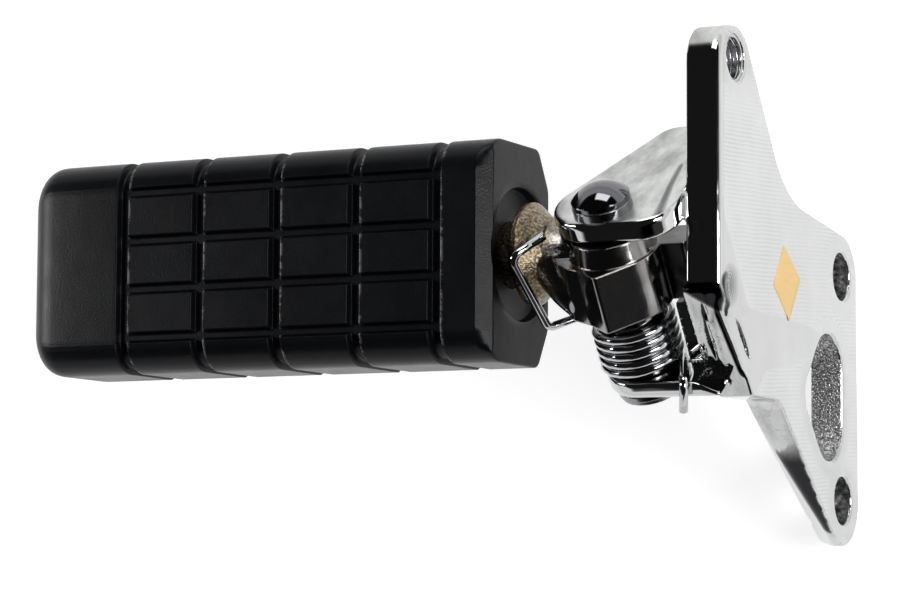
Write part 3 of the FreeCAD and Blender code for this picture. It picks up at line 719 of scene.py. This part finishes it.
def makeSticker(s):
    material = newMaterial("yellowPaper")
    fibre = noise(material, objectPlace(material), *s["fibre"])
    tint = mixColour(material, fibre, *s["yellow"])
    shader(material, Base_Color=tint, Roughness=s["rough"], Normal=bump(material, fibre, *s["bump"]))
    outline, _ = beltOutline([(y, z, s["corner"]) for y, z in s["corners"]], s["cornerSteps"])
    middle = outline.mean(0)
    rings = []
    for level, size in [(-s["sink"], 1.0)] + [(s["thick"] * share, size) for share, size in s["rings"]]:
        ring = middle + (outline - middle) * size
        rings.append(np.concatenate([np.full((len(ring), 1), level), ring], 1))
    piece = closedTube("face_sticker", np.array(rings), material)
    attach(piece, "bracket")
    print("sticker", len(piece.data.polygons), "faces")


makeSticker(sticker)


# Rubber: a section carried along the bar, with grooves pressed into it

rubber = {
    "topRadius": 7.2, "sideDrop": 9.2, "sideRadius": 2.5, "floor": 28.0, "floorRadius": 4.0,
    "endRadius": 8.5, "endCrown": 1.0, "bevel": 2.8, "bevelDrop": 2.6, "rim": 0.5,
    "recessRadius": 14.2, "recessDepth": 2.6, "recessRound": 0.3, "lip": 0.4, "lipMiddle": 0.12,
    "boreRadius": 7.05, "boreDepth": 98.05, "boreRim": 0.2,
    "columns": 4, "columnPitch": 19.26, "crossGroove": 3.2, "firstGroove": 10.8,
    "rows": 3, "rowPitch": 10.64, "longGroove": 2.6, "depth": 1.6, "flank": 0.55,
    # lines of the grid: across a groove's floor and walls, round the section and along it
    "floorLines": (0, 0.5, 1), "wallLines": (0.2, 0.4, 0.6, 0.8, 1.0, 1.25, 2.2),
    "bevelLines": (1.0, 0.97, 0.5, 1.06),
    "arcSteps": 12, "aroundLines": 72, "alongFrom": 1.5, "alongLines": 40, "endLines": 14, "closest": 0.04,
    "faceRings": (1.0, 0.85, 0.5, 0.15), "capRings": (0.9, 0.6, 0.3, 0.05),
    "lineAt": 0.35, "lineHalf": 0.26, "lineTop": 2.0, "lineDeep": (0.2, 0.75),
}


def grooveLines(middle, width, s):
    # grid lines across one groove: close together on its two walls
    floor = width / 2 - s["flank"]
    out = np.concatenate([np.array(s["floorLines"]) * floor, floor + s["flank"] * np.array(s["wallLines"])])
    return middle + np.concatenate([-out[::-1], out[1:]])


def groove(distance, width, flank):
    # 1 on the groove's floor, 0 beyond its walls
    return 1 - smoothstep(width / 2 - flank, width / 2, np.abs(distance))


def makeRubber(s):
    low, high = boxMm("peg_rubber")
    length = high[0] - low[0]
    half = (high[1] - low[1]) / 2
    axisY, axisZ = (high[1] + low[1]) / 2, pinPoint[2]
    top, bottom = high[2] - axisZ, low[2] - axisZ
    # the section, going round from the floor: (across, up, radius)
    foot = (s["floor"] / 2, bottom + s["floorRadius"], s["floorRadius"])
    side = (half - s["sideRadius"], s["sideRadius"] - s["sideDrop"], s["sideRadius"])
    shoulder = (half - s["topRadius"], top - s["topRadius"], s["topRadius"])
    mirrored = [(-across, up, radius) for across, up, radius in (foot, shoulder, side)]
    outline, outward = beltOutline([mirrored[0], foot, side, shoulder, *mirrored[1:]], s["arcSteps"])
    outline = np.concatenate([outline, outline[:1]])
    outward = np.concatenate([outward, outward[:1]])
    around = np.concatenate([[0], np.cumsum(np.linalg.norm(np.diff(outline, axis=0), axis=1))])
    onTop = around[np.abs(outline[:, 1] - top) < 1e-6]      # level with the top
    topMiddle = (onTop.min() + onTop.max()) / 2
    rowMiddles = topMiddle + (np.arange(s["rows"] + 1) - s["rows"] / 2) * s["rowPitch"]
    rowLines = np.concatenate([grooveLines(m, s["longGroove"], s) for m in rowMiddles])
    fill = np.linspace(0, around[-1], s["aroundLines"])[1:-1]
    stations = np.unique(np.round(np.concatenate([around[:-1], rowLines, fill]), 3))
    stations = stations[np.concatenate([[True], np.diff(stations) > s["closest"]])]
    y, z = [np.interp(stations, around, outline[:, k]) for k in (0, 1)]
    ny, nz = [np.interp(stations, around, outward[:, k]) for k in (0, 1)]

    # e is the distance in from the inner end
    first = s["firstGroove"] + s["crossGroove"] / 2
    columnMiddles = first + np.arange(s["columns"] + 1) * s["columnPitch"]
    crossLines = np.concatenate([grooveLines(m, s["crossGroove"], s) for m in columnMiddles])
    quarter = np.linspace(0, np.pi / 2, s["endLines"])
    endLines = length - s["endRadius"] * (1 - np.sin(quarter))
    rimLines = s["rim"] * (1 - np.sin(quarter[::3]))
    bevelLines = s["bevel"] * np.array(s["bevelLines"])
    fill = np.linspace(s["bevel"] * s["alongFrom"], length - s["endRadius"], s["alongLines"])
    e = np.unique(np.round(np.concatenate([crossLines, endLines, rimLines, bevelLines, fill, [0.0]]), 3))

    # e and the distance round the section give the groove's depth
    cross = groove((e[:, None] - columnMiddles).T, s["crossGroove"], s["flank"]).max(0)
    along = groove((stations[:, None] - rowMiddles).T, s["longGroove"], s["flank"]).max(0)
    inner, outer = columnMiddles[0], columnMiddles[-1]
    reach = smoothstep(inner - s["flank"], inner, e) * (1 - smoothstep(outer, outer + s["flank"], e))
    sunk = s["depth"] * np.maximum(cross[:, None], along[None, :] * reach[:, None])
    # both ends are drawn in by a quarter circle
    fromOuter = np.clip(s["endRadius"] - (length - e), 0, None)
    drawnIn = s["endRadius"] - np.sqrt(np.clip(s["endRadius"] ** 2 - fromOuter ** 2, 0, None))
    fromInner = np.clip(s["rim"] - e, 0, None)
    drawnIn = drawnIn + s["rim"] - np.sqrt(np.clip(s["rim"] ** 2 - fromInner ** 2, 0, None))
    shrinkY, shrinkZ = 1 - drawnIn / half, 1 - drawnIn / top
    py = y * shrinkY[:, None] - ny * sunk
    pz = z * shrinkZ[:, None] - nz * sunk
    # the outer block's top falls away as the square of the distance along it
    outerBlock = outer + s["crossGroove"] / 2
    fall = s["endCrown"] * np.clip((e - outerBlock) / (length - outerBlock), 0, 1) ** 2
    pz = pz - fall[:, None] * smoothstep(0, top, z)
    bevelTop = top - s["bevelDrop"] * (1 - e / s["bevel"])
    pz = np.minimum(pz, np.where(e < s["bevel"], bevelTop, np.inf)[:, None])
    body = np.stack([np.broadcast_to(-e[:, None], py.shape), py, pz], -1)

    # the inner end runs in to a round recess and the bore; the outer end is closed by a flat cap
    angle = np.arctan2(body[0, :, 2], body[0, :, 1])
    circle = np.stack([np.zeros_like(angle), np.cos(angle), np.sin(angle)], -1)

    def ring(radius, depth):
        return circle * radius - np.array([depth, 0, 0])

    r, d, b = s["recessRadius"], s["recessDepth"], s["boreRadius"]
    turn, lip, middle = s["recessRound"], s["lip"], s["lipMiddle"]
    inside = [ring(b, d + s["boreDepth"]), ring(b, d), ring(b + s["boreRim"], d), ring(r - turn, d),
              ring(r, d - turn), ring(r, lip), ring(r + middle, middle)]
    face = [body[0] + (ring(r + lip, 0) - body[0]) * share for share in s["faceRings"]]
    centre = np.array([-length, 0, 0])
    cap = [centre + (body[-1] - centre) * share for share in s["capRings"]]
    rings = np.concatenate([np.array(inside), np.array(face), body, np.array(cap)])
    rings = rings + np.array([high[0], axisY, axisZ])
    piece = closedTube("peg_rubber_moulded", rings, rubberBlack)

    # pale line on the block's edge at the inboard wall of each cross groove: partly wear, partly painted
    # highlight
    near = e[:, None] - (columnMiddles - s["crossGroove"] / 2 + s["flank"] * s["lineAt"])
    wearAndPaintedLight = np.exp(-(near / s["lineHalf"]) ** 2).max(1)
    onTopFace = smoothstep(-s["lineTop"], s["lineTop"], z - (top - s["topRadius"]))
    paleLine = np.zeros(rings.shape[:2])
    start = len(inside) + len(face)
    paleLine[start:start + len(e)] = wearAndPaintedLight[:, None] * onTopFace * (1 - smoothstep(*s["lineDeep"], sunk))
    pointLayer(piece, "edgeWearAndSheen", np.concatenate([paleLine.ravel(), [0, 0]]))
    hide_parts("peg_rubber")
    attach(piece, "peg")
    print("rubber", len(piece.data.polygons), "faces")


makeRubber(rubber)


# Return spring: a round wire carried along its two legs and the coil

spring = {
    "wire": 1.9, "sides": 14, "coilRadius": 8.25, "pitch": 2.0, "turns": 5, "turnSteps": 40, "bendSteps": 9,
    "low": -20.2, "hook": (12.5, -9.85), "hookLean": 1.8, "hookEnd": -27.2, "bend": 2.0,
    "corner": (-16.8, -5.7, -8.5), "crown": (-42.3, -2.1, 82.1), "tip": (-36.6, 2.7, 78.0),
    "aside": (0.5, -0.5, 0.7),      # never along the wire, so it gives each ring its start
}


def bendPoints(before, corner, after, radius, steps):
    # arc of that radius, tangent to both straight runs
    back, ahead = unit(before - corner), unit(after - corner)
    half = np.arccos(np.clip(back @ ahead, -1, 1)) / 2
    centre = corner + unit(back + ahead) * radius / np.sin(half)
    first = corner + back * radius / np.tan(half) - centre
    last = corner + ahead * radius / np.tan(half) - centre
    turn = np.pi - 2 * half
    t = np.linspace(0, turn, steps)[:, None]
    return centre + (first * np.sin(turn - t) + last * np.sin(t)) / np.sin(turn)


def makeSpring(s):
    hook = np.array([*s["hook"], s["low"]])
    hookEnd = np.array([hook[0] - s["hookLean"], hook[1], s["hookEnd"]])
    corner = np.array(s["corner"])
    crown, tip = toPin(np.array(s["crown"])), toPin(np.array(s["tip"]))

    def leaves(point, sense):       # angle on the coil where a straight leg to the point leaves it
        reach = np.hypot(point[0], point[1])
        return np.arctan2(point[1], point[0]) + sense * np.arccos(s["coilRadius"] / reach)

    begin, end = leaves(hook, 1), leaves(corner, -1)
    sweep = s["turns"] * 2 * np.pi + (end - begin) % (2 * np.pi)
    t = np.linspace(0, 1, int(sweep / (2 * np.pi) * s["turnSteps"]))
    angle = begin + sweep * t
    climb = s["low"] + s["pitch"] * sweep / (2 * np.pi) * t
    coil = np.stack([s["coilRadius"] * np.cos(angle), s["coilRadius"] * np.sin(angle), climb], -1)
    path = np.concatenate([
        [hookEnd], bendPoints(hookEnd, hook, coil[0], s["bend"], s["bendSteps"]), coil,
        bendPoints(coil[-1], corner, crown, s["bend"], s["bendSteps"]),
        bendPoints(corner, crown, tip, s["bend"], s["bendSteps"]), [tip]])
    heading = unit(np.gradient(path, axis=0))
    side = unit(np.cross(heading, np.array(s["aside"])))
    across = np.cross(heading, side)
    turn = np.linspace(0, 2 * np.pi, s["sides"], endpoint=False)
    spread = side[:, None] * np.cos(turn)[:, None] + across[:, None] * np.sin(turn)[:, None]
    rings = path[:, None] + spread * (s["wire"] / 2)
    piece = closedTube("return_spring_wire", fromPin(rings), springWire)
    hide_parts("return_spring")
    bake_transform(piece)
    print("spring", len(piece.data.polygons), "faces")


makeSpring(spring)


# Floor, lamps, sky and camera

floor = {
    "level": -0.0102, "size": 8.0, "clouds": (3, 2), "tone": ((0.3, 0.6), (0.7, 0.612)), "rough": 0.9,
    "lift": 0.70,                   # glow that the camera and mirrors see, so the floor is near white
}


def makeFloor(s):
    material = newMaterial("paleFloor")
    tone = ramp(material, noise(material, objectPlace(material), *s["clouds"]), *s["tone"])
    body = shader(material, Base_Color=tone, Roughness=s["rough"])
    path = add(material, "LightPath").outputs
    seen = calc(material, "MAXIMUM", path["Is Camera Ray"], path["Is Glossy Ray"])
    seen = calc(material, "MAXIMUM", seen, path["Is Transmission Ray"])
    glow = add(material, "Emission", Strength=times(material, seen, s["lift"]))
    both = add(material, "AddShader", i0=body.outputs[0], i1=glow.outputs[0])
    put(material, material.node_tree.nodes["Material Output"].inputs["Surface"], both.outputs[0])
    corners = [(-1, -1), (1, -1), (1, 1), (-1, 1)]
    mesh = bpy.data.meshes.new("floor")
    mesh.from_pydata([(a * s["size"], b * s["size"], s["level"]) for a, b in corners], [], [(0, 1, 2, 3)])
    mesh.materials.append(material)
    piece = bpy.data.objects.new("floor", mesh)
    scene.collection.objects.link(piece)


makeFloor(floor)

lamps = {                           # place, width, height, watts
    "keyLamp": ((0.62, -0.05, 0.50), 0.30, 0.30, 3.5),
    "overheadLamp": ((0.05, 0.75, 0.55), 0.55, 0.35, 2.6),
    "endLamp": ((-0.80, 0.07, 0.45), 0.10, 0.50, 2.6),
}
aim = Vector((-0.05, 0.0, 0.05))
for name, (place, width, height, watts) in lamps.items():
    data = bpy.data.lights.new(name, "AREA")
    data.shape, data.size, data.size_y, data.energy = "RECTANGLE", width, height, watts
    lamp = bpy.data.objects.new(name, data)
    lamp.location = place
    lamp.rotation_euler = (aim - lamp.location).to_track_quat("-Z", "Y").to_euler()
    scene.collection.objects.link(lamp)

# pale near the horizon and dark overhead, with dark sides towards the near right and the peg's end
sky = {
    "horizon": 0.95, "above": 0.012, "band": (0.28, 0.38), "darkShare": 0.05,
    "darkSides": [((0.42, -0.91, 0.0), (0.74, 0.86)), ((-0.99, 0.10, 0.0), (0.80, 0.93))],
}
world = bpy.data.worlds.new("studio")
world.use_nodes = True
scene.world = world
direction = add(world, "TexCoord").outputs["Generated"]
upward = add(world, "SeparateXYZ", Vector=direction).outputs[2]
level = between(world, upward, sky["horizon"], sky["above"], *sky["band"], "SMOOTHSTEP")
for towards, reach in sky["darkSides"]:
    aside = add(world, "VectorMath", {"operation": "DOT_PRODUCT"}, i0=direction, i1=towards).outputs["Value"]
    level = times(world, level, between(world, aside, 1.0, sky["darkShare"], *reach, "SMOOTHSTEP"))
background = world.node_tree.nodes["Background"]
put(world, background.inputs["Strength"], level)
put(world, background.inputs["Color"], (1, 1, 1, 1))

view = {
    "place": (0.2464, -0.0749, 0.6725), "right": (0.8901, 0.0055, -0.4557), "up": (0.0393, 0.9953, 0.0888),
    "lens": 128.0, "sensor": 36.0, "nearest": 0.01,
}
right, up = Vector(view["right"]).normalized(), Vector(view["up"]).normalized()
back = right.cross(up).normalized()
up = back.cross(right)
camera = bpy.data.objects.new("camera", bpy.data.cameras.new("camera"))
camera.matrix_world = Matrix.Translation(view["place"]) @ Matrix((right, up, back)).transposed().to_4x4()
camera.data.lens, camera.data.clip_start = view["lens"], view["nearest"]
camera.data.sensor_width, camera.data.sensor_fit = view["sensor"], "HORIZONTAL"
scene.collection.objects.link(camera)
scene.camera = camera
scene.view_settings.view_transform = "Standard"
print("floor, lamps, sky and camera")
